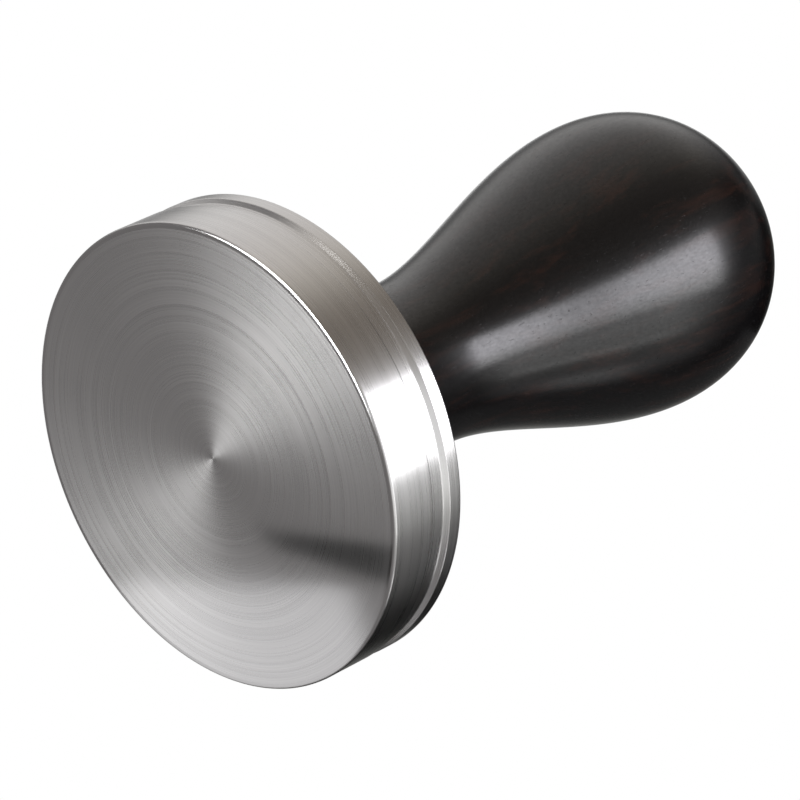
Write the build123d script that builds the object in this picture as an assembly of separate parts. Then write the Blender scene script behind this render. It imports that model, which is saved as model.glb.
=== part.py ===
from build123d import *
import math
import os

# Espresso tamper. Millimetres, +Z up, standing on its tamping face.
# The origin is the centre of the tamping face, and the handle rises along +Z.

# --- Driving dimensions ---------------------------------------------------

overall_height = 92.5          # tamping face to the top of the handle

# Turned steel base
base_diameter = 58.0           # the common basket size that the base fits
base_thickness = 11.3
front_edge_radius = 0.5        # rounded edge round the tamping face
back_edge_radius = 0.3         # edge broken on the handle's side
groove_start = 6.55            # near wall of the turned groove, above the face
groove_depth = 0.55
groove_bevel_start = 8.8       # the floor ends here and slopes out at 45 degrees

# M8 coarse thread that joins the handle to the base
thread_diameter = 8.0
thread_pitch = 1.25
thread_crest_trim = 0.1        # the stud's crests are cut this much smaller, on diameter
stud_length = 20.0
stud_depth_in_base = 8.0
stud_end_chamfer = 0.6
hex_key_width = 4.0            # socket in the stud's free end
hex_socket_depth = 4.0

# Washer that the handle is tightened against
washer_diameter = 23.0
washer_bore = 8.6
washer_thickness = 0.8

# Brass insert in the foot of the handle
insert_diameter = 12.0
insert_length = 15.0
insert_mouth_setback = 0.3     # the insert sits this far inside the foot
insert_mouth_chamfer = 0.5
pilot_drill_diameter = 8.5     # the hole drilled on past the insert
pilot_drill_depth = 6.0
drill_point_angle = 118.0

# Outline of the handle: three curves that meet at the neck and the bulb. Each has a radius and a height
# and, along the tool's axis unless it says otherwise, how far each curve pulls there
foot_radius = 13.2
foot_pull = 9.0
foot_edge_radius = 0.8
neck_radius = 10.67
neck_height = 34.5
neck_pull_down = 9.0
neck_pull_up = 11.5
bulb_radius = 19.2
bulb_height = 73.8
bulb_pull_down = 12.8
bulb_pull_up = 12.0
crown_pull_out = 11.5          # sideways, at the very top

# --- Worked out from them -------------------------------------------------

base_radius = base_diameter / 2
groove_radius = base_radius - groove_depth
groove_end = groove_bevel_start + groove_depth
stud_radius = (thread_diameter - thread_crest_trim) / 2
stud_bottom = base_thickness - stud_depth_in_base
stud_top = stud_bottom + stud_length
foot_height = base_thickness + washer_thickness
insert_bottom = foot_height + insert_mouth_setback
insert_top = insert_bottom + insert_length
drill_point_length = pilot_drill_diameter / 2 / math.tan(math.radians(drill_point_angle / 2))


def piston_base():
    """Steel disc turned in one piece: front land, groove with a sloped far wall, rear land."""
    with BuildPart() as base:
        with BuildSketch(Plane.XZ):
            with BuildLine():
                Polyline(
                    (0, 0),
                    (base_radius, 0),
                    (base_radius, groove_start),
                    (groove_radius, groove_start),
                    (groove_radius, groove_bevel_start),
                    (base_radius, groove_end),
                    (base_radius, base_thickness),
                    (0, base_thickness),
                    close=True,
                )
            make_face()
        revolve(axis=Axis.Z)
        rims = base.edges().filter_by(GeomType.CIRCLE).sort_by(Axis.Z)
        fillet(rims[0], front_edge_radius)
        fillet(rims[-1], back_edge_radius)
        with Locations((0, 0, base_thickness)):
            Hole(radius=stud_radius, depth=stud_depth_in_base)
    return base.part


def handle_stud():
    """Set screw held in the base, with a hex socket in its free end."""
    with BuildPart() as stud:
        with Locations((0, 0, stud_bottom)):
            Cylinder(stud_radius, stud_length, align=(Align.CENTER, Align.CENTER, Align.MIN))
        chamfer(stud.edges().filter_by(GeomType.CIRCLE), stud_end_chamfer)
        with BuildSketch(Plane.XY.offset(stud_top)):
            RegularPolygon(hex_key_width / 2, 6, major_radius=False)
        extrude(amount=-hex_socket_depth, mode=Mode.SUBTRACT)
    return stud.part


def friction_washer():
    """Flat washer between the steel and the foot of the wooden handle."""
    with BuildPart() as washer:
        with BuildSketch(Plane.XY.offset(base_thickness)):
            Circle(washer_diameter / 2)
            Circle(washer_bore / 2, mode=Mode.SUBTRACT)
        extrude(amount=washer_thickness)
    return washer.part


def threaded_insert():
    """Brass bush in the foot of the handle that the stud screws into."""
    with BuildPart() as insert:
        with BuildSketch(Plane.XY.offset(insert_bottom)):
            Circle(insert_diameter / 2)
            Circle(thread_diameter / 2, mode=Mode.SUBTRACT)
        extrude(amount=insert_length)
        mouth = insert.edges().filter_by(GeomType.CIRCLE).group_by(Axis.Z)[0]
        chamfer(mouth.sort_by(SortBy.RADIUS)[0], insert_mouth_chamfer)
    return insert.part


def turned_handle():
    """Pear-shaped handle turned from one piece of dark hardwood, bored for the insert."""
    with BuildPart() as handle:
        with BuildSketch(Plane.XZ):
            with BuildLine():
                foot_curve = Bezier(
                    (foot_radius, foot_height),
                    (foot_radius, foot_height + foot_pull),
                    (neck_radius, neck_height - neck_pull_down),
                    (neck_radius, neck_height),
                )
                Bezier(
                    (neck_radius, neck_height),
                    (neck_radius, neck_height + neck_pull_up),
                    (bulb_radius, bulb_height - bulb_pull_down),
                    (bulb_radius, bulb_height),
                )
                crown_curve = Bezier(
                    (bulb_radius, bulb_height),
                    (bulb_radius, bulb_height + bulb_pull_up),
                    (crown_pull_out, overall_height),
                    (0, overall_height),
                )
                Polyline(crown_curve @ 1, (0, foot_height), foot_curve @ 0)
            make_face()
        revolve(axis=Axis.Z)
        foot_edge = handle.edges().filter_by(GeomType.CIRCLE).sort_by(Axis.Z)[0]
        fillet(foot_edge, foot_edge_radius)
        with BuildSketch(Plane.XZ):
            with BuildLine():
                Polyline(
                    (0, foot_height),
                    (insert_diameter / 2, foot_height),
                    (insert_diameter / 2, insert_top),
                    (pilot_drill_diameter / 2, insert_top),
                    (pilot_drill_diameter / 2, insert_top + pilot_drill_depth),
                    (0, insert_top + pilot_drill_depth + drill_point_length),
                    close=True,
                )
            make_face()
        revolve(axis=Axis.Z, mode=Mode.SUBTRACT)
    return handle.part


pieces = {
    "piston_base": piston_base(),
    "handle_stud": handle_stud(),
    "friction_washer": friction_washer(),
    "threaded_insert": threaded_insert(),
    "turned_handle": turned_handle(),
}

os.makedirs("parts", exist_ok=True)
for name, piece in pieces.items():
    export_step(piece, f"parts/{name}.step")

print("turns to unscrew:", round((stud_top - insert_bottom) / thread_pitch, 2))
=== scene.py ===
# %% [markdown]
# # An espresso tamper
#
# A tamper is a hand tool with two big pieces: a heavy steel base that presses the coffee,
# and a wooden handle that fits the palm. Three small pieces that nobody sees hold them
# together: a threaded stud, a brass insert for it to screw into, and a washer between them.
#
# The engineering model already fixes where everything is. This lesson loads it, and makes
# a finely finished piece in the place of each of its parts, in metres, in the same frame:
# the tamping face lies at height zero, and the tool's axis is the vertical Z axis.

# %% Load the fixed frame
import math

import bmesh
import bpy
from mathutils import Matrix, Quaternion, Vector


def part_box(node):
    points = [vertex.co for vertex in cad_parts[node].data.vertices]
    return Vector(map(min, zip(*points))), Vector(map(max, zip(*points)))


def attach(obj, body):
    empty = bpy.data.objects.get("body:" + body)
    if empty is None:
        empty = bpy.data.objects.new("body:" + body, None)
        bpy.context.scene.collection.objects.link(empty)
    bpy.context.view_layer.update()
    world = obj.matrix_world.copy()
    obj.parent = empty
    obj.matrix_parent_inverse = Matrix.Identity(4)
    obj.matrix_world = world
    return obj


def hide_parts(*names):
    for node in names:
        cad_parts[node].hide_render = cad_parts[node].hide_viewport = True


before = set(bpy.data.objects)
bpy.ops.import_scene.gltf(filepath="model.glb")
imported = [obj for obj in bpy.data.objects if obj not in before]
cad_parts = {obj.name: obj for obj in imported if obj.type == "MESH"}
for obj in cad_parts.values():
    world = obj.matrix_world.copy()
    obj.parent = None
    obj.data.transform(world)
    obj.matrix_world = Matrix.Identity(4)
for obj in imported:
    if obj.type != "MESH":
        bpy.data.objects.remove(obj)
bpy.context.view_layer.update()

mm = 0.001

# %% [markdown]
# ## Sizes
#
# Every size that a piece shares with the engineering model is read from that model, so
# the two can't drift apart. What the model leaves plain, such as the thread's teeth, gets
# its size here.

# %% Sizes read from the frame
base_low, base_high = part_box("piston_base")
stud_low, stud_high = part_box("handle_stud")
washer_low, washer_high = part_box("friction_washer")
insert_low, insert_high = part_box("threaded_insert")
handle_low, handle_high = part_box("turned_handle")

base_radius = base_high.x
base_top = base_high.z
foot_height = handle_low.z
print("base radius and thickness, mm:", round(base_radius / mm, 2), round(base_top / mm, 2))

# %% [markdown]
# ## The lathe
#
# Nearly everything on a tamper is turned on a lathe, so the same four steps make nearly
# every piece. A plane is merged into one point. The point is extruded along the outline,
# which draws half of the section. The corners that a turner would ease are bevelled while
# they are still points. Then the outline is spun once round the axis, its seam and poles
# are merged, and its faces are turned outwards.

# %% Tools for turned pieces
ROUND_SIDES = 256          # flats round a large turned piece
SMALL_SIDES = 96           # and round a small one
SAME_PLACE = 0.002 * mm    # points closer than this are one point


def start_alone():
    """Nothing stays selected from earlier work, so an operator acts on one piece only."""
    if bpy.context.mode != "OBJECT":
        bpy.ops.object.mode_set(mode="OBJECT")
    bpy.ops.object.select_all(action="DESELECT")


def pick(piece):
    """Select one piece only, and make it the active one."""
    start_alone()
    piece.select_set(True)
    bpy.context.view_layer.objects.active = piece


def open_for_editing(piece, parts="VERT"):
    """Open one piece in edit mode, with all of it selected."""
    pick(piece)
    bpy.ops.object.mode_set(mode="EDIT")
    bpy.ops.mesh.select_mode(type=parts)
    bpy.ops.mesh.select_all(action="SELECT")


def select_points(piece, test):
    """In edit mode, select only the points that pass the test, and count them."""
    bpy.ops.mesh.select_all(action="DESELECT")
    mesh = bmesh.from_edit_mesh(piece.data)
    chosen = [point for point in mesh.verts if test(point.co)]
    for point in chosen:
        point.select_set(True)
    mesh.select_flush_mode()
    bmesh.update_edit_mesh(piece.data)
    return len(chosen)


def draw_outline(name, points):
    """A chain of points in the XZ plane. Each point is a radius and a height, in metres."""
    start_alone()
    bpy.ops.mesh.primitive_plane_add(size=mm)
    piece = bpy.context.object
    piece.name = name
    open_for_editing(piece)
    bpy.ops.mesh.merge(type="CENTER")
    here = Vector((points[0][0], 0, points[0][1]))
    bpy.ops.transform.translate(value=here)
    for radius, height in points[1:]:
        there = Vector((radius, 0, height))
        bpy.ops.mesh.extrude_vertices_move(TRANSFORM_OT_translate={"value": there - here})
        here = there
    return piece


def ease_corner(piece, corner, size, steps=3):
    """Round one corner of an outline. The size is how far it is cut back along each side."""
    place = Vector((corner[0], 0, corner[1]))
    found = select_points(piece, lambda point: (point - place).length < SAME_PLACE)
    if found != 1:
        raise ValueError(f"{piece.name} has {found} points at {corner}, not one")
    bpy.ops.mesh.bevel(affect="VERTICES", offset=size, offset_type="OFFSET", segments=steps)


def tidy_faces():
    """Merge doubled points and turn every face outwards."""
    bpy.ops.mesh.select_all(action="SELECT")
    bpy.ops.mesh.remove_doubles(threshold=SAME_PLACE)
    bpy.ops.mesh.normals_make_consistent(inside=False)


def spin_outline(piece, sides):
    """Turn an open outline into a closed solid round the Z axis."""
    bpy.ops.mesh.select_all(action="SELECT")
    bpy.ops.mesh.spin(steps=sides, angle=2 * math.pi, center=(0, 0, 0), axis=(0, 0, 1))
    tidy_faces()
    bpy.ops.object.mode_set(mode="OBJECT")


def apply_modifier(piece, kind, **settings):
    """Add a modifier with its settings, and apply it at once."""
    pick(piece)
    modifier = piece.modifiers.new(kind.title(), kind)
    for name, value in settings.items():
        setattr(modifier, name, value)
    bpy.ops.object.modifier_apply(modifier=modifier.name)


def smooth(piece, angle=35):
    """Smooth shading that keeps real edges and keeps flat faces flat beside small bevels."""
    pick(piece)
    bpy.ops.object.shade_smooth_by_angle(angle=math.radians(angle))
    apply_modifier(piece, "WEIGHTED_NORMAL", keep_sharp=True, weight=100)


def report(piece):
    """Print a finished piece's size, its face count, and whether it is closed."""
    mesh = bmesh.new()
    mesh.from_mesh(piece.data)
    open_edges = sum(1 for edge in mesh.edges if not edge.is_manifold)
    volume = mesh.calc_volume(signed=True)
    mesh.free()
    size = [round(side / mm, 2) for side in piece.dimensions]
    print(piece.name, size, "mm,", len(piece.data.polygons), "faces,", open_edges, "open edges,",
          round(volume / mm ** 3, 1), "mm3")


# %% [markdown]
# ## The steel base
#
# The base is one piece of stainless steel bar. The turner faces it flat, eases the front
# edge, and cuts a shallow groove with a square near wall and a sloped far wall. In the
# middle of the face the tool leaves a tiny dimple. The back has a blind hole for the stud.
#
# All of it is in one outline, which starts in the middle of the tamping face and goes out,
# up the flank, and back along the top to the bottom of the hole. Each corner has its own
# easing: the front edge is the widest, and the groove's corners are nearly sharp.

# %% Turn the base
groove_start = 6.55 * mm
groove_floor_end = 8.8 * mm
groove_depth = 0.55 * mm
groove_radius = base_radius - groove_depth
groove_end = groove_floor_end + groove_depth    # the slope rises at 45 degrees
front_edge = 0.4 * mm
groove_near_edge = 0.26 * mm
groove_near_corner = 0.12 * mm
groove_far_corner = 0.14 * mm
groove_far_edge = 0.09 * mm
back_edge = 0.3 * mm
dimple_radius = 1.1 * mm
dimple_depth = 0.05 * mm
hole_radius = 4.06 * mm
hole_mouth = 0.55 * mm
hole_bottom = stud_low.z - 0.3 * mm
drill_cone = 1.6 * mm

base_outline = [
    (0, dimple_depth),
    (dimple_radius * 0.45, dimple_depth * 0.55),
    (dimple_radius, 0),
    (base_radius, 0),
    (base_radius, groove_start),
    (groove_radius, groove_start),
    (groove_radius, groove_floor_end),
    (base_radius, groove_end),
    (base_radius, base_top),
    (hole_radius + hole_mouth, base_top),
    (hole_radius, base_top - hole_mouth),
    (hole_radius, hole_bottom),
    (0, hole_bottom - drill_cone),
]
steel_base = draw_outline("steel_base", base_outline)
ease_corner(steel_base, (base_radius, 0), front_edge, 6)
ease_corner(steel_base, (base_radius, groove_start), groove_near_edge, 4)
ease_corner(steel_base, (groove_radius, groove_start), groove_near_corner)
ease_corner(steel_base, (groove_radius, groove_floor_end), groove_far_corner)
ease_corner(steel_base, (base_radius, groove_end), groove_far_edge)
ease_corner(steel_base, (base_radius, base_top), back_edge, 4)
spin_outline(steel_base, ROUND_SIDES)
smooth(steel_base)
report(steel_base)

# %% [markdown]
# ## The wooden handle
#
# The handle is a pear: a foot that sits on the base, a neck for the fingers, and a bulb
# for the palm. A turner cuts it as three sweeps that run into each other without a step.
# Each sweep is a Bezier curve whose ends point straight along the axis, so the curves meet
# smoothly at the neck and at the widest place. The foot is bored for the insert.

# %% Turn the handle
foot_radius = 13.2 * mm
foot_edge = 0.8 * mm
foot_pull = 9.0 * mm
neck_radius = 10.67 * mm
neck_height = 34.5 * mm
neck_pull_down = 9.0 * mm
neck_pull_up = 11.5 * mm
bulb_radius = handle_high.x
bulb_height = 73.8 * mm
bulb_pull_down = 12.8 * mm
bulb_pull_up = 12.0 * mm
crown_pull_out = 11.5 * mm
crown_height = handle_high.z
insert_radius = insert_high.x
pilot_radius = 4.25 * mm
pilot_depth = 6.0 * mm
pilot_cone = 2.5 * mm
SWEEP_STEPS = 36


def sweep(start, start_pull, end_pull, end):
    """Points along a Bezier curve, without its first one."""
    anchors = (start, start_pull, end_pull, end)
    points = []
    for step in range(1, SWEEP_STEPS + 1):
        t = step / SWEEP_STEPS
        weights = ((1 - t) ** 3, 3 * t * (1 - t) ** 2, 3 * t * t * (1 - t), t ** 3)
        points.append(tuple(sum(w * a[axis] for w, a in zip(weights, anchors)) for axis in (0, 1)))
    return points


foot = (foot_radius, foot_height)
above_foot = (foot_radius, foot_height + foot_pull)
below_neck = (neck_radius, neck_height - neck_pull_down)
neck = (neck_radius, neck_height)
above_neck = (neck_radius, neck_height + neck_pull_up)
below_bulb = (bulb_radius, bulb_height - bulb_pull_down)
bulb = (bulb_radius, bulb_height)
above_bulb = (bulb_radius, bulb_height + bulb_pull_up)
beside_crown = (crown_pull_out, crown_height)
crown = (0, crown_height)
handle_outline = [
    (0, insert_high.z + pilot_depth + pilot_cone),
    (pilot_radius, insert_high.z + pilot_depth),
    (pilot_radius, insert_high.z),
    (insert_radius, insert_high.z),
    (insert_radius, foot_height),
    foot,
    *sweep(foot, above_foot, below_neck, neck),
    *sweep(neck, above_neck, below_bulb, bulb),
    *sweep(bulb, above_bulb, beside_crown, crown),
]
wooden_handle = draw_outline("wooden_handle", handle_outline)
ease_corner(wooden_handle, foot, foot_edge, 5)
spin_outline(wooden_handle, ROUND_SIDES)
smooth(wooden_handle)
report(wooden_handle)

# %% [markdown]
# ## The thread
#
# A thread is one tooth wound round the axis. Its outline is one pitch tall: up the flank,
# along the crest, down the flank, along the root. The Screw modifier winds that outline up
# the axis, and each turn meets the one below. A right-hand thread climbs as it turns
# anticlockwise, seen from above. The winding's two ends are ragged, so it starts two turns
# too low and ends too high, and both ends are cut off square.
#
# The same winding serves three times: as the stud, a little larger as the tap that cuts
# the insert, and coarser as the insert's own outer thread, which bites into the wood.

# %% Wind a thread
STEPS_PER_TURN = 48


def threaded_rod(name, crest_radius, root_radius, pitch, bottom, top):
    """A solid rod with a right-hand thread, cut square at both ends."""
    start = bottom - 2 * pitch
    turns = math.ceil((top - bottom) / pitch) + 3
    flat = pitch / 8
    tooth = [
        (root_radius, start),
        (root_radius, start + flat),
        (crest_radius, start + pitch / 2 - flat / 2),
        (crest_radius, start + pitch / 2 + flat / 2),
        (root_radius, start + pitch - flat),
        (root_radius, start + pitch),
    ]
    rod = draw_outline(name, tooth)
    bpy.ops.object.mode_set(mode="OBJECT")
    apply_modifier(rod, "SCREW", axis="Z", angle=2 * math.pi, screw_offset=pitch, iterations=turns,
                   steps=STEPS_PER_TURN, render_steps=STEPS_PER_TURN, use_merge_vertices=True,
                   merge_threshold=SAME_PLACE, use_normal_calculate=True)
    open_for_editing(rod)
    bpy.ops.mesh.remove_doubles(threshold=SAME_PLACE)
    for height, keep_above in ((bottom, True), (top, False)):
        bpy.ops.mesh.select_all(action="SELECT")
        bpy.ops.mesh.bisect(plane_co=(0, 0, height), plane_no=(0, 0, 1), use_fill=True, threshold=SAME_PLACE,
                            clear_inner=keep_above, clear_outer=not keep_above)
    tidy_faces()
    bpy.ops.object.mode_set(mode="OBJECT")
    return rod


def cut_with(piece, cutter, operation):
    """Cut a piece with another one, which is then thrown away."""
    apply_modifier(piece, "BOOLEAN", operation=operation, object=cutter, solver="EXACT")
    bpy.data.objects.remove(cutter)


# %% [markdown]
# ## The stud
#
# The stud is a plain set screw: a short threaded rod, chamfered at both ends, with a hex
# socket for the key that drives it into the base. The chamfers come from a turned blank:
# only what lies inside both the blank and the threaded rod is kept.

# %% Cut the stud
thread_pitch = 1.25 * mm
thread_depth = 0.62 * mm
stud_crest = stud_high.x
stud_root = stud_crest - thread_depth
stud_chamfer = 0.75 * mm
hex_width = 4.0 * mm
hex_depth = 4.0 * mm
spare = 0.5 * mm

steel_stud = threaded_rod("steel_stud", stud_crest, stud_root, thread_pitch, stud_low.z,
                          stud_high.z)
blank = draw_outline("blank", [
    (0, stud_low.z - spare),
    (stud_crest - stud_chamfer - spare, stud_low.z - spare),
    (stud_crest + spare, stud_low.z + stud_chamfer + spare),
    (stud_crest + spare, stud_high.z - stud_chamfer - spare),
    (stud_crest - stud_chamfer - spare, stud_high.z + spare),
    (0, stud_high.z + spare),
])
spin_outline(blank, SMALL_SIDES)
cut_with(steel_stud, blank, "INTERSECT")

start_alone()
bpy.ops.mesh.primitive_cylinder_add(
    vertices=6, radius=hex_width / math.sqrt(3), depth=hex_depth + spare,
    location=(0, 0, stud_high.z - (hex_depth - spare) / 2))
hex_key = bpy.context.object
bpy.ops.object.transform_apply(location=True)
cut_with(steel_stud, hex_key, "DIFFERENCE")
smooth(steel_stud, 25)
report(steel_stud)

# %% [markdown]
# ## The brass insert
#
# The insert is a brass bush. Outside, a coarse knife thread holds it in the wood. Inside,
# it is tapped with the stud's thread, a few hundredths of a millimetre larger, in step
# with the stud, so the teeth run between each other all the way as the handle unscrews.
# The tap starts a whole number of turns above the stud's end, which keeps it in step.
# The slot across its mouth is for the screwdriver that drives it in.

# %% Cut the insert
thread_play = 0.06 * mm
knife_depth = 0.7 * mm
knife_pitch = 2.5 * mm
mouth_edge = 0.3 * mm
lead_in = 0.6 * mm
mouth_chamfer = 0.5 * mm
slot_width = 1.4 * mm
slot_depth = 1.6 * mm

brass_insert = threaded_rod("brass_insert", insert_radius, insert_radius - knife_depth,
                            knife_pitch, insert_low.z, insert_high.z)
blank = draw_outline("blank", [
    (0, insert_low.z - spare),
    (insert_radius - mouth_edge, insert_low.z - spare),
    (insert_radius + spare, insert_low.z + mouth_edge + spare),
    (insert_radius + spare, insert_high.z - lead_in - spare),
    (insert_radius - lead_in - spare, insert_high.z + spare),
    (0, insert_high.z + spare),
])
spin_outline(blank, SMALL_SIDES)
cut_with(brass_insert, blank, "INTERSECT")

turns_below = math.floor((insert_low.z - stud_low.z - spare) / thread_pitch)
turns_above = math.ceil((insert_high.z - stud_low.z + spare) / thread_pitch)
tap = threaded_rod("tap", stud_crest + thread_play, stud_root + thread_play, thread_pitch,
                   stud_low.z + turns_below * thread_pitch, stud_low.z + turns_above * thread_pitch)
cut_with(brass_insert, tap, "DIFFERENCE")

mouth_radius = stud_crest + thread_play + mouth_chamfer
countersink_end = insert_low.z + mouth_radius - stud_root
countersink = draw_outline("countersink", [
    (0, insert_low.z - spare),
    (mouth_radius + spare, insert_low.z - spare),
    (stud_root, countersink_end),
    (0, countersink_end),
])
spin_outline(countersink, SMALL_SIDES)
cut_with(brass_insert, countersink, "DIFFERENCE")

start_alone()
bpy.ops.mesh.primitive_cube_add(size=1, location=(0, 0, insert_low.z + (slot_depth - spare) / 2))
slot = bpy.context.object
slot.dimensions = (2 * insert_radius + spare, slot_width, slot_depth + spare)
bpy.ops.object.transform_apply(location=True, scale=True)
cut_with(brass_insert, slot, "DIFFERENCE")
smooth(brass_insert, 25)
report(brass_insert)

# %% [markdown]
# ## The washer
#
# The washer keeps the steel from marking the wood. It is a flat black ring, punched from
# sheet and tumbled, so its edges are only just rounded. Its outline is a closed loop that
# stays clear of the axis, and spinning that makes a ring.

# %% Turn the washer
washer_bore = 4.3 * mm
washer_edge = 0.15 * mm
washer_radius = washer_high.x
washer_corners = [
    (washer_bore, washer_low.z),
    (washer_radius, washer_low.z),
    (washer_radius, washer_high.z),
    (washer_bore, washer_high.z),
]
black_washer = draw_outline("black_washer", washer_corners)
bpy.ops.mesh.select_all(action="SELECT")
bpy.ops.mesh.edge_face_add()
bpy.ops.mesh.select_all(action="SELECT")
bpy.ops.mesh.bevel(affect="VERTICES", offset=washer_edge, offset_type="OFFSET", segments=3)
bpy.ops.mesh.select_all(action="SELECT")
bpy.ops.mesh.delete(type="ONLY_FACE")
spin_outline(black_washer, SMALL_SIDES)
smooth(black_washer)
report(black_washer)

# %% [markdown]
# ## Which piece moves with which body
#
# The base and its stud stay still. The washer is dragged round by the handle's foot. The
# handle and its insert turn and rise together, one pitch for each turn.

# %% Ride and replace
placings = [
    (steel_base, "base", "piston_base", "turned_steel"),
    (steel_stud, "base", "handle_stud", "stud_steel"),
    (black_washer, "washer", "friction_washer", "washer_nylon"),
    (brass_insert, "handle", "threaded_insert", "insert_brass"),
    (wooden_handle, "handle", "turned_handle", "dark_hardwood"),
]
for piece, body, node, slot_name in placings:
    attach(piece, body)
    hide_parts(node)
print("pieces placed:", [piece.name for piece, body, node, slot_name in placings])

# %% [markdown]
# ## Writing shaders as sums
#
# A finish is worked out from where a point is: how far from the axis, how high, and some
# noise. Two small classes keep that readable. A Value is one output of a node, and adding
# or multiplying Values adds the Math nodes. Nodes holds a tree, and its add method makes
# any other node: its kind, its settings, then its sockets.

# %% Shader tools
class Value:
    """One output socket. Sums on it become Math nodes."""

    def __init__(self, nodes, socket):
        self.nodes = nodes
        self.socket = socket

    def other(self, name):
        """Another output of the same node."""
        return Value(self.nodes, self.socket.node.outputs[name])

    def math(self, operation, *rest, clamp=False):
        return self.nodes.add("ShaderNodeMath", {"operation": operation, "use_clamp": clamp}, (self, *rest))

    def __add__(self, rest):
        return self.math("ADD", rest)

    def __sub__(self, rest):
        return self.math("SUBTRACT", rest)

    def __rsub__(self, rest):
        return self * -1.0 + rest

    def __mul__(self, rest):
        return self.math("MULTIPLY", rest)

    def __truediv__(self, rest):
        return self.math("DIVIDE", rest)

    __radd__ = __add__
    __rmul__ = __mul__


class Nodes:
    """The node tree of a material, a world or a light."""

    def __init__(self, owner):
        owner.use_nodes = True
        self.tree = owner.node_tree
        self.tree.nodes.clear()

    def add(self, kind, settings=None, sockets=(), out=0):
        """Any node: settings first, then sockets by name or in order."""
        node = self.tree.nodes.new(kind)
        for name, value in (settings or {}).items():
            if name == "stops":
                fill_ramp(node.color_ramp, value)
            else:
                setattr(node, name, value)
        pairs = sockets.items() if isinstance(sockets, dict) else enumerate(sockets)
        for name, value in pairs:
            if isinstance(value, Value):
                self.tree.links.new(value.socket, node.inputs[name])
            else:
                node.inputs[name].default_value = value
        return Value(self, node.outputs[out]) if node.outputs else None

    def ramp(self, value, stops, interpolation="EASE"):
        """A colour ramp. Stops are places from 0 to 1, each with a grey or a colour."""
        node = self.add("ShaderNodeValToRGB", {"stops": stops}, (value,))
        node.socket.node.color_ramp.interpolation = interpolation
        return node

    def noise(self, vector, scale, detail=2.0, roughness=0.5, distortion=0.0):
        sockets = {"Vector": vector, "Scale": scale, "Detail": detail, "Roughness": roughness,
                   "Distortion": distortion}
        return self.add("ShaderNodeTexNoise", {}, sockets, "Fac")

    def vector(self, x, y, z):
        return self.add("ShaderNodeCombineXYZ", {}, (x, y, z))

    def mix_colour(self, amount, low, high):
        """Between two colours. A colour is three numbers, or a link."""
        low, high = ((*tone, 1) if isinstance(tone, tuple) else tone for tone in (low, high))
        return self.add("ShaderNodeMix", {"data_type": "RGBA"}, {0: amount, 6: low, 7: high}, 2)

    def bump(self, relief, strength, depth):
        """A normal tilted by a relief, where a relief of 1 is as high as the depth."""
        return self.add("ShaderNodeBump", {}, {"Strength": strength, "Distance": depth, "Height": relief})

    def principled(self, **sockets):
        """The surface shader. Names are given with _ in place of spaces."""
        named = {name.replace("_", " "): value for name, value in sockets.items()}
        surface = self.add("ShaderNodeBsdfPrincipled", {}, named)
        self.add("ShaderNodeOutputMaterial", {}, (surface,))


def fill_ramp(ramp, stops):
    """Set a colour ramp's stops in order."""
    while len(ramp.elements) > 1:
        ramp.elements.remove(ramp.elements[-1])
    for number, (place, shade) in enumerate(stops):
        colour = (shade, shade, shade, 1) if isinstance(shade, (int, float)) else (*shade, 1)
        element = ramp.elements[0] if number == 0 else ramp.elements.new(place)
        element.position = place
        element.color = colour


def place_in_mm(nodes):
    """Where a point of the surface is, in mm: across, back, and up from the tamping face."""
    place = nodes.add("ShaderNodeTexCoord", {}, (), "Object")
    x = nodes.add("ShaderNodeSeparateXYZ", {}, (place,))
    return x / mm, x.other("Y") / mm, x.other("Z") / mm


def from_the_axis(x, y):
    """How far that point is from the tool's axis."""
    return (x * x + y * y).math("SQRT")


def new_finish(name):
    """A new material and its empty node tree."""
    material = bpy.data.materials.new(name)
    return material, Nodes(material)


# %% [markdown]
# ## Turned steel
#
# A lathe tool leaves fine grooves that run round the axis. They are too fine to see one by
# one, but they stretch every reflection across themselves: on the face that gives bright
# and dark sectors that meet in the middle, and on the flank it gives bands along the axis.
# The shader's Anisotropic value makes that stretch, along a tangent that runs round Z.
# Noise in rings, read from the distance and the height, adds the coarser tool marks. A
# little of the place itself is mixed in, so that no ring runs the whole way round unchanged.
#
# The slope at the far side of the groove is cut with the tool's side and is left plain.

# %% Make the turned steel
slope_middle = (groove_floor_end + groove_end) / 2 / mm
slope_reach = 0.4


def make_turned_steel():
    material, nodes = new_finish("turned_steel")
    x, y, height = place_in_mm(nodes)
    place = nodes.vector(x, y, height)
    drift = (x + y * 1.7) * 0.002
    along = nodes.vector(from_the_axis(x, y), height, drift)
    fine_rings = nodes.noise(along, 5.4, 3.0, 0.7)
    broad_rings = nodes.noise(along, 1.1, 2.0, 0.5)
    cloud = nodes.noise(place, 0.12, 3.0, 0.5)
    specks = nodes.ramp(nodes.noise(place, 1.3, 1.0, 0.3), [(0.80, 0.0), (0.83, 1.0)])

    tone = nodes.ramp(broad_rings * 0.15 + fine_rings * 0.85,
                      [(0.3, (0.552, 0.548, 0.546)), (0.7, (0.658, 0.653, 0.648))])
    rough = 0.28 + (fine_rings - 0.5) * 0.09 + (broad_rings - 0.5) * 0.02 + (cloud - 0.5) * 0.04
    on_the_slope = height.math("COMPARE", slope_middle, slope_reach)
    relief = (fine_rings * 1.5 + broad_rings * 0.15 + specks * 4.0) * (1.0 - on_the_slope)
    round_z = nodes.add("ShaderNodeTangent", {"direction_type": "RADIAL", "axis": "Z"})
    nodes.principled(Base_Color=tone, Metallic=1.0, Roughness=rough, Anisotropic=0.65,
                     Anisotropic_Rotation=0.25, Tangent=round_z,
                     Normal=nodes.bump(relief, 0.25, 0.002 * mm))
    return material


steel_base.data.materials.append(make_turned_steel())

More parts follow.
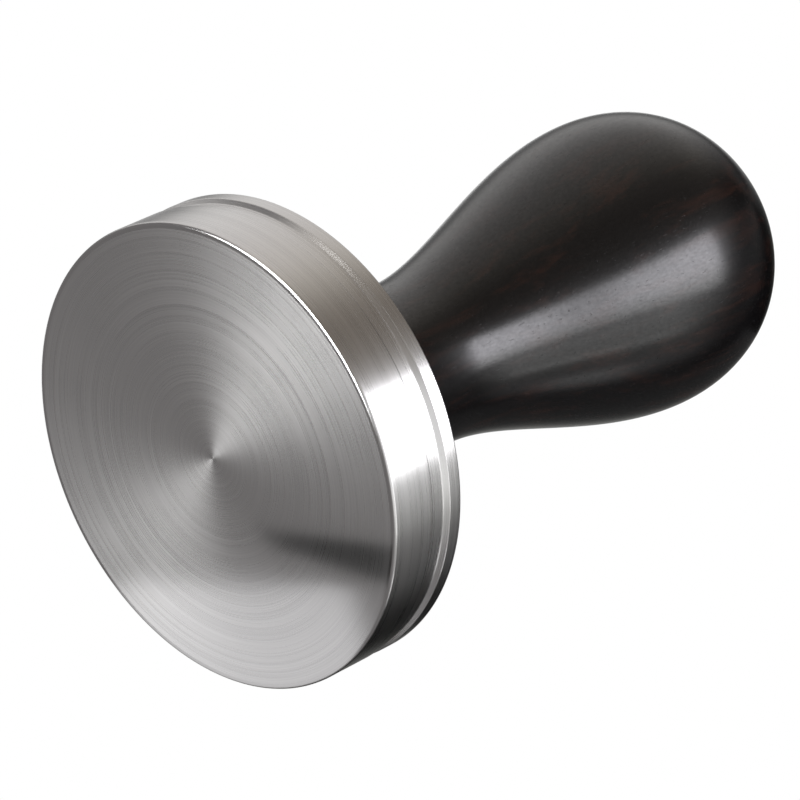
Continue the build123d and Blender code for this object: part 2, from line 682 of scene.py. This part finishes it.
# %% [markdown]
# ## Ebony
#
# Ebony is a nearly black wood with a fine straight grain and faint red-brown streaks that
# run along the handle. The noises are squeezed along the height, so their spots are drawn
# out into fibres, streaks and short open pores.
#
# The wood is polished and lacquered, so it reflects a window softly. The lacquer is the
# shader's coat. It is a little thicker and thinner from place to place, which the Coat
# Weight says, and a few specks of dust are caught in it.

# %% Make the ebony
def make_ebony():
    material, nodes = new_finish("ebony")
    x, y, height = place_in_mm(nodes)
    fibres = nodes.noise(nodes.vector(x, y, height * 0.05), 1.6, 5.0, 0.6, 0.3)
    streaks = nodes.noise(nodes.vector(x, y, height * 0.12), 0.35, 3.0, 0.55, 0.6)
    pores = nodes.noise(nodes.vector(x, y, height * 0.10), 5.0, 2.0, 0.5)
    specks = nodes.noise(nodes.vector(x, y, height), 1.9, 1.0, 0.4)
    smudges = nodes.noise(nodes.vector(x, y, height * 0.5), 1.1, 4.0, 0.65)
    grain = nodes.noise(nodes.vector(x, y, height * 0.45), 3.6, 3.0, 0.7)
    wave = nodes.noise(nodes.vector(x, y, height * 0.6), 0.16, 2.0, 0.5)
    in_a_pore = nodes.ramp(pores, [(0.66, 0.0), (0.72, 1.0)])
    on_a_speck = nodes.ramp(specks, [(0.76, 0.0), (0.80, 1.0)])

    brown = nodes.ramp(streaks * 0.6 + fibres * 0.4, [(0.48, 0.0), (0.66, 1.0)])
    colour = nodes.mix_colour(brown, (0.0034, 0.0031, 0.0033), (0.0135, 0.0062, 0.0048))
    rough = (0.21 + (fibres - 0.5) * 0.10 + (smudges - 0.5) * 0.12
             + in_a_pore * 0.08 + on_a_speck * 0.2)
    lacquer = (0.42 + (grain - 0.5) * 0.8 - in_a_pore * 0.12).math("MAXIMUM", 0.0)
    relief = (wave * 6.0 + fibres * 0.5 + smudges * 0.6 + grain * 0.15
              - in_a_pore * 0.8 + on_a_speck * 1.0)
    nodes.principled(Base_Color=colour, Roughness=rough, Specular_IOR_Level=0.19,
                     Coat_Weight=lacquer, Coat_Roughness=0.2,
                     Normal=nodes.bump(relief, 0.3, 0.02 * mm))
    return material


wooden_handle.data.materials.append(make_ebony())

# %% [markdown]
# ## The small metal pieces and the washer
#
# The stud is bought-in stainless steel with a rolled thread, the insert is machined brass,
# a little dull where hands have touched it, and the washer is black nylon.

# %% Make the other finishes
def make_plain_metal(name, low, high, base_rough):
    material, nodes = new_finish(name)
    x, y, height = place_in_mm(nodes)
    marks = nodes.noise(nodes.vector(from_the_axis(x, y), height, (x + y) * 0.1), 6.0, 3.0, 0.6)
    stain = nodes.noise(nodes.vector(x, y, height), 0.5, 3.0, 0.6)
    colour = nodes.mix_colour(nodes.ramp(stain, [(0.35, 0.0), (0.7, 1.0)]), low, high)
    rough = base_rough + (marks - 0.5) * 0.2 + (stain - 0.5) * 0.15
    nodes.principled(Base_Color=colour, Metallic=1.0, Roughness=rough,
                     Normal=nodes.bump(marks, 0.2, 0.01 * mm))
    return material


def make_nylon():
    material, nodes = new_finish("black_nylon")
    x, y, height = place_in_mm(nodes)
    grain = nodes.noise(nodes.vector(x, y, height), 4.0, 3.0, 0.6)
    rings = nodes.noise(nodes.vector(from_the_axis(x, y), height, x * 0.05), 3.0, 2.0, 0.5)
    colour = nodes.mix_colour(grain, (0.018, 0.018, 0.018), (0.04, 0.04, 0.042))
    nodes.principled(Base_Color=colour, Roughness=0.5 + (rings - 0.5) * 0.3,
                     Normal=nodes.bump(grain + rings, 0.3, 0.02 * mm))
    return material


stainless = make_plain_metal("stud_steel", (0.36, 0.36, 0.37), (0.50, 0.50, 0.51), 0.32)
brass = make_plain_metal("brass", (0.55, 0.37, 0.14), (0.76, 0.55, 0.25), 0.3)
steel_stud.data.materials.append(stainless)
brass_insert.data.materials.append(brass)
black_washer.data.materials.append(make_nylon())
print("finishes:", [piece.active_material.name for piece, body, node, slot_name in placings])

# %% [markdown]
# ## The stage
#
# The tamper stands on a pale floor. One of the best views of it is from below, straight
# at the tamping face, so the floor is painted on its upper side only: seen from below it
# lets everything through. It has a round hole just smaller than the base, so the face can
# reflect what is below, and from above the base covers the hole. The part of the floor
# near the tool is left out of reflections, so the steel's lower edge isn't darkened by its
# own contact shadow.

# %% Lay the floor
floor_hole = base_radius - 0.7 * mm
floor_join = 90 * mm
floor_reach = 3.0
floor_height = base_low.z - 0.05 * mm

paint, nodes = new_finish("floor_paint")
behind = nodes.add("ShaderNodeNewGeometry", {}, (), "Backfacing")
place = nodes.add("ShaderNodeTexCoord", {}, (), "Object")
mottle = nodes.noise(place, 6.0, 3.0, 0.5)
shade = nodes.mix_colour(mottle, (0.91, 0.91, 0.905), (0.94, 0.94, 0.935))
matt = nodes.add("ShaderNodeBsdfDiffuse", {}, {"Color": shade})
clear = nodes.add("ShaderNodeBsdfTransparent")
one_sided = nodes.add("ShaderNodeMixShader", {}, (behind, matt, clear))
nodes.add("ShaderNodeOutputMaterial", {}, (one_sided,))

floor_rings = [("floor_near", floor_hole, floor_join), ("floor_far", floor_join, floor_reach)]
for name, inner, outer in floor_rings:
    ring = draw_outline(name, [(inner, floor_height), (outer, floor_height)])
    spin_outline(ring, ROUND_SIDES)
    if ring.data.polygons[0].normal.z < 0:
        open_for_editing(ring, "FACE")
        bpy.ops.mesh.flip_normals()
        bpy.ops.object.mode_set(mode="OBJECT")
    ring.visible_glossy = name == "floor_far"
    ring.data.materials.append(paint)

# %% [markdown]
# ## Light
#
# The room is white where the camera looks at it. In reflections it is a soft grey that
# changes with the bearing, lighter on one side and dark on the other, because polished
# metal and lacquer only show what is around them. It also darkens overhead, and below the
# horizon it has the grey of the ground.

# %% Light the room
room_strength = 2.2
ground_grey = (0.096, 0.092, 0.092)


def bearing_ramp(nodes, x, y, stops):
    """A colour for each bearing, in degrees: 0 is towards the viewer and 90 is +X."""
    bearing = x.math("ARCTAN2", y * -1.0)
    place = bearing / (2 * math.pi) + 0.5
    places = [(degrees / 360 + 0.5, colour) for degrees, colour in stops]
    return nodes.ramp(place, places, "LINEAR")


room = bpy.data.worlds.new("room")
bpy.context.scene.world = room
nodes = Nodes(room)
direction = nodes.add("ShaderNodeTexCoord", {}, (), "Generated")
x = nodes.add("ShaderNodeSeparateXYZ", {}, (direction,))
y = x.other("Y")
height = x.other("Z")
walls = bearing_ramp(nodes, x, y, [
    (-180, 0.3), (-168, 0.5), (-160, 0.09), (-149, 0.09),
    (-136, (0.35, 0.345, 0.34)), (-120, (0.43, 0.42, 0.415)), (-95, (0.39, 0.375, 0.365)),
    (-70, (0.34, 0.32, 0.30)), (-58, (0.265, 0.245, 0.22)), (-40, (0.13, 0.115, 0.10)),
    (-28, (0.10, 0.087, 0.075)), (-12, (0.12, 0.107, 0.095)), (0, (0.2, 0.19, 0.18)),
    (9, 0.45), (44, 0.52), (58, (0.56, 0.56, 0.55)), (68, (0.23, 0.23, 0.22)),
    (76, (0.25, 0.245, 0.245)), (84, (0.22, 0.215, 0.215)), (91, 0.03),
    (104, 0.005), (140, 0.004), (152, (0.03, 0.03, 0.028)), (164, (0.12, 0.12, 0.115)),
    (180, (0.26, 0.26, 0.26)),
])
overhead = nodes.ramp(height + x * 0.35, [(0.66, 1.0), (0.94, 0.12)])
upper = nodes.mix_colour(overhead, (0, 0, 0), walls)
far_side = nodes.ramp(y * 0.5 + 0.5, [(0.36, 0.0), (0.52, 1.0)])
straight_down = nodes.ramp(height * -1.0, [(0.76, 0.0), (0.92, 1.0)])
under_the_horizon = (height * -8.0 + 0.5).math("ADD", 0.0, clamp=True)
below = under_the_horizon * far_side.math("MAXIMUM", straight_down)
reflected = nodes.mix_colour(below, upper, ground_grey)
shade = nodes.add("ShaderNodeBackground", {}, {"Color": reflected, "Strength": room_strength})
white = nodes.add("ShaderNodeBackground", {}, {"Color": (1, 1, 1, 1), "Strength": 1.0})
seen = nodes.add("ShaderNodeLightPath", {}, (), "Is Camera Ray")
nodes.add("ShaderNodeOutputWorld", {}, (nodes.add("ShaderNodeMixShader", {}, (seen, shade, white)),))
print("room colours round the horizon:", len(walls.socket.node.color_ramp.elements))

# %% [markdown]
# ## Cards and lamps
#
# A lamp here is a lit card of a real size, because its shape shows in the reflections. Its
# brightness can fade from one side to the other, as a window does behind a curtain. The
# first three cards are placed by their bearing and elevation from the middle of the tool,
# and the others at places of their own:
#
# - the window makes the long soft highlight on the handle and the white part of the flank;
# - a side card and a low card next to it carry the light on round the side;
# - the front light is below, and the face spreads it into the bright sectors;
# - a card and a small dark shape lie just under the rim, where the face shows them nearly
#   sharp, and a dim glow behind the bulb lifts its lower edge off the dark.

# %% Place the lamps
def toward(bearing, elevation):
    """The direction with this bearing and elevation, in degrees."""
    across = math.cos(math.radians(elevation))
    return Vector((across * math.sin(math.radians(bearing)), -across * math.cos(math.radians(bearing)),
                   math.sin(math.radians(elevation))))


def stand_up(place, facing, across):
    """The matrix that puts a card somewhere, facing one way, with its width along another."""
    back = -Vector(facing).normalized()
    side = (Vector(across) - Vector(across).dot(back) * back).normalized()
    return Matrix.Translation(place) @ Matrix((side, back.cross(side), back)).transposed().to_4x4()


EVEN = [(0, 1.0), (1, 1.0)]


def light_card(name, place, facing, across, width, length, brightness, fade=None):
    """A lit card, where 1 is white. A fade gives its brightness at places across its width."""
    start_alone()
    bpy.ops.object.light_add(type="AREA")
    light = bpy.context.object
    light.name = name
    light.data.shape = "RECTANGLE"
    light.data.size = width
    light.data.size_y = length
    light.data.energy = brightness * math.pi * width * length
    light.matrix_world = stand_up(place, facing, across)
    light.visible_camera = False
    nodes = Nodes(light.data)
    spot = nodes.add("ShaderNodeNewGeometry", {}, (), "Parametric")
    across_card = nodes.add("ShaderNodeSeparateXYZ", {}, (spot,))
    glow = nodes.ramp(across_card, fade or EVEN)
    ends = nodes.ramp(across_card.other("Y"), [(0, 0.0), (0.12, 1.0), (0.88, 1.0), (1, 0.0)])
    lit = nodes.add("ShaderNodeEmission", {}, {"Color": glow, "Strength": ends})
    nodes.add("ShaderNodeOutputLight", {}, (lit,))


def dark_card(name, place, facing, across, width, length, narrow_end):
    """A black card that only shows in reflections. It narrows towards the start of its width."""
    start_alone()
    bpy.ops.mesh.primitive_plane_add(size=1)
    card = bpy.context.object
    card.name = name
    for corner in card.data.vertices:
        if corner.co.x < 0:
            corner.co.y *= narrow_end
    card.data.transform(stand_up(place, facing, across) @ Matrix.Diagonal((width, length, 1, 1)))
    card.visible_camera = False
    material, nodes = new_finish(name)
    black = nodes.add("ShaderNodeBsdfDiffuse", {}, {"Color": (0, 0, 0, 1)})
    nodes.add("ShaderNodeOutputMaterial", {}, (black,))
    card.data.materials.append(material)


up = Vector((0, 0, 1))
middle = Vector((0, 0, 50)) * mm
card_distance = 0.6


def card_round_the_tool(name, bearing, elevation, width, length, brightness, fade=None):
    """A lit card that stands upright at a bearing and elevation and faces the tool."""
    way = toward(bearing, elevation)
    light_card(name, middle + card_distance * way, -way, up.cross(way), width, length, brightness, fade)


curtain = (0.955, 0.94, 1.0)
card_round_the_tool("window", 23.5, 24, 0.34, 0.38, 8.8,
                    [(0, 0.4), (0.1, curtain), (0.5, curtain), (1, 0.42)])
card_round_the_tool("side_card", 54, 14, 0.22, 0.26, 2.6,
                    [(0, 0.5), (0.6, 0.22), (0.76, 0.16), (0.85, 0.8), (0.92, 0.8), (1, 0.0)])
card_round_the_tool("low_card", 86, 8, 0.13, 0.24, 1.35)

front_way = Vector((-0.37, 0.0, -0.929))
light_card("front_light", 0.5 * front_way, -front_way, (0, 1, 0), 0.36, 0.47, 13.5)

cool_white = (0.98, 0.98, 1.0)
rim_place = Vector((26, 20, -8)) * mm
light_card("rim_card", rim_place, up, (0.956, 0.295, 0), 24 * mm, 48 * mm, 0.62,
           [(0, cool_white), (1, cool_white)])
# The rim_shadow card is a painted shadow: a black card under the rim, seen only in reflections, that stands
# in for the shade on the ground there.
shadow_place = Vector((16.3, -3.4, -8)) * mm
dark_card("rim_shadow", shadow_place, up, (0.43, -0.90, 0), 24 * mm, 5.5 * mm, 0.35)

bench_way = Vector((0.735, 0.669, 0.128))
light_card("bench_glow", Vector((33, 18, 85)) * mm, -bench_way, up, 70 * mm, 60 * mm, 0.06)

# %% [markdown]
# ## Camera
#
# The camera looks up at the tool from in front and below, from a little over half a metre
# away through a long lens, and is rolled so that the handle points up and to the right.

# %% Place the camera
camera_place = Vector((0, -453.35, -370.95)) * mm
camera_target = Vector((3.34, 0, 30.42)) * mm
camera_roll = 64.28
camera_lens = 225

start_alone()
bpy.ops.object.camera_add(location=camera_place)
camera = bpy.context.object
aim = (camera_target - camera_place).to_track_quat("-Z", "Y")
camera.rotation_euler = (aim @ Quaternion((0, 0, 1), math.radians(camera_roll))).to_euler()
camera.data.lens = camera_lens
camera.data.sensor_width = 36
bpy.context.scene.camera = camera
bpy.context.scene.view_settings.view_transform = "Standard"
print("camera distance, m:", round((camera_target - camera_place).length, 3))
